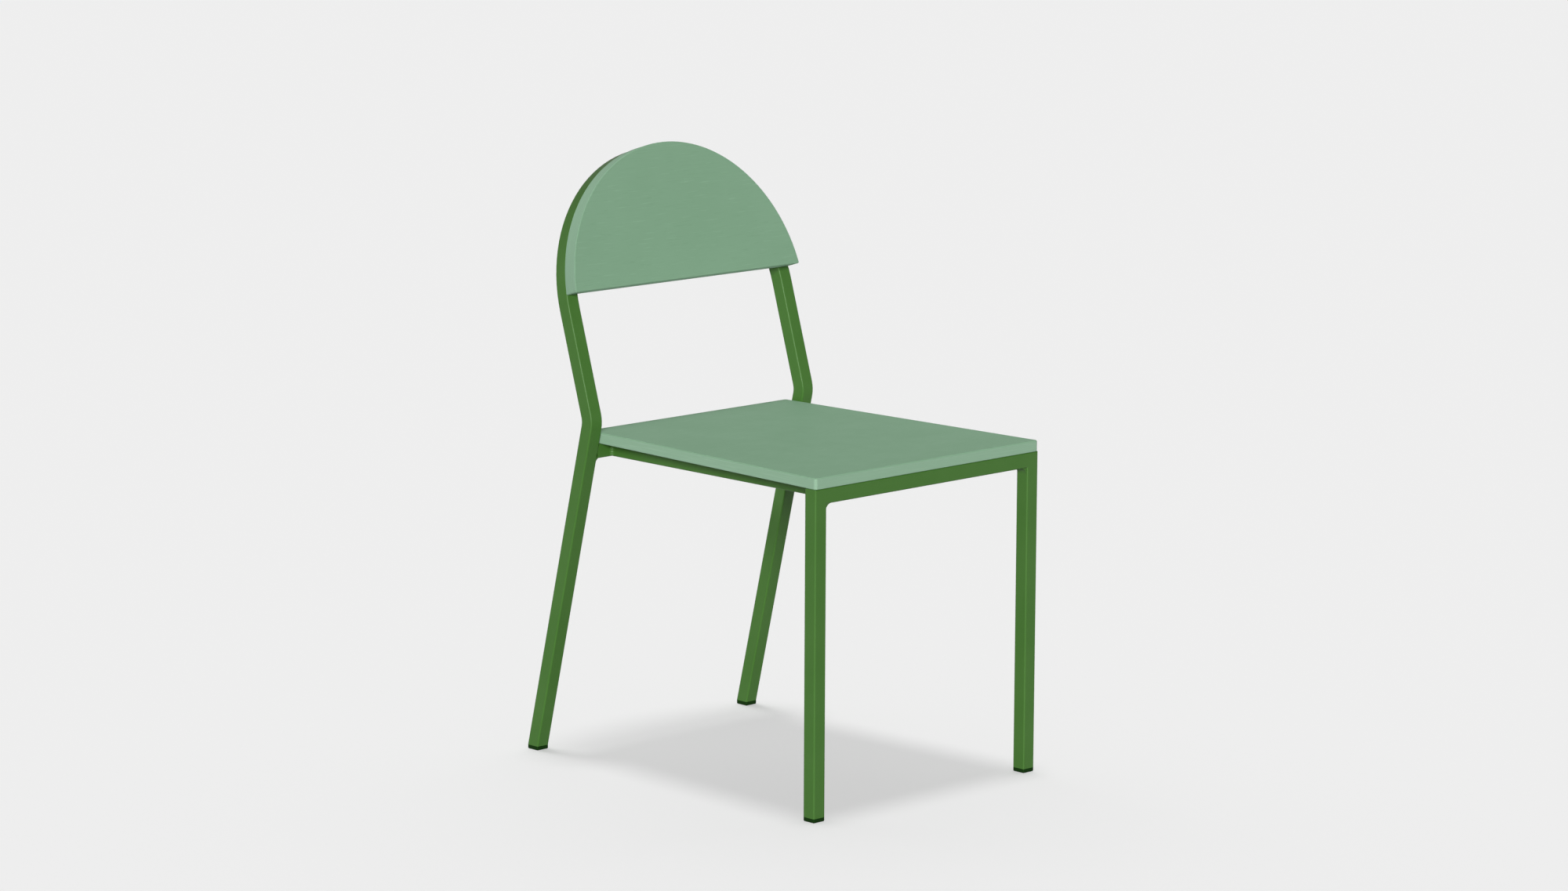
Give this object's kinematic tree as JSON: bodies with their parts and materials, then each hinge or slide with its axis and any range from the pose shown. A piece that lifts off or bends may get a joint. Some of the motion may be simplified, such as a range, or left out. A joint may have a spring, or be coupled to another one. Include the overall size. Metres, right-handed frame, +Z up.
{
  "type": "stacking chair",
  "caption": "Armless stacking chair: welded square-tube frame with a bent rear hoop, flat tapered seat panel, half-round back panel on the hoop's arch, and foot glides.",
  "frame": {"origin": "on the floor, in the middle of the chair's width and depth", "axes": "+Z up, the chair faces -Y, and +X is to the right when looking along +Y at its front"},
  "size_m": [0.411, 0.558, 0.8175],
  "materials": {
    "frame": "leaf green powder coat, satin",
    "panels": "sage green paint, matt",
    "glides": "black moulded plastic",
    "screws": "zinc plated",
    "inserts": "plain"
  },
  "bodies": {
    "root": {"rear_hoop": "frame", "front_leg_left": "frame", "front_leg_right": "frame", "front_rail": "frame", "rear_cross_rail": "frame", "side_rail_left": "frame", "side_rail_right": "frame", "front_corner_welds": "frame", "rear_rail_welds": "frame", "side_rail_welds": "frame", "seat_panel": "panels", "back_panel": "panels", "glide_front_left": "glides", "glide_front_right": "glides", "glide_rear_left": "glides", "glide_rear_right": "glides", "seat_screws": "screws", "back_screws": "screws", "seat_inserts": "inserts", "back_inserts": "inserts"}
  },
  "joints": []
}
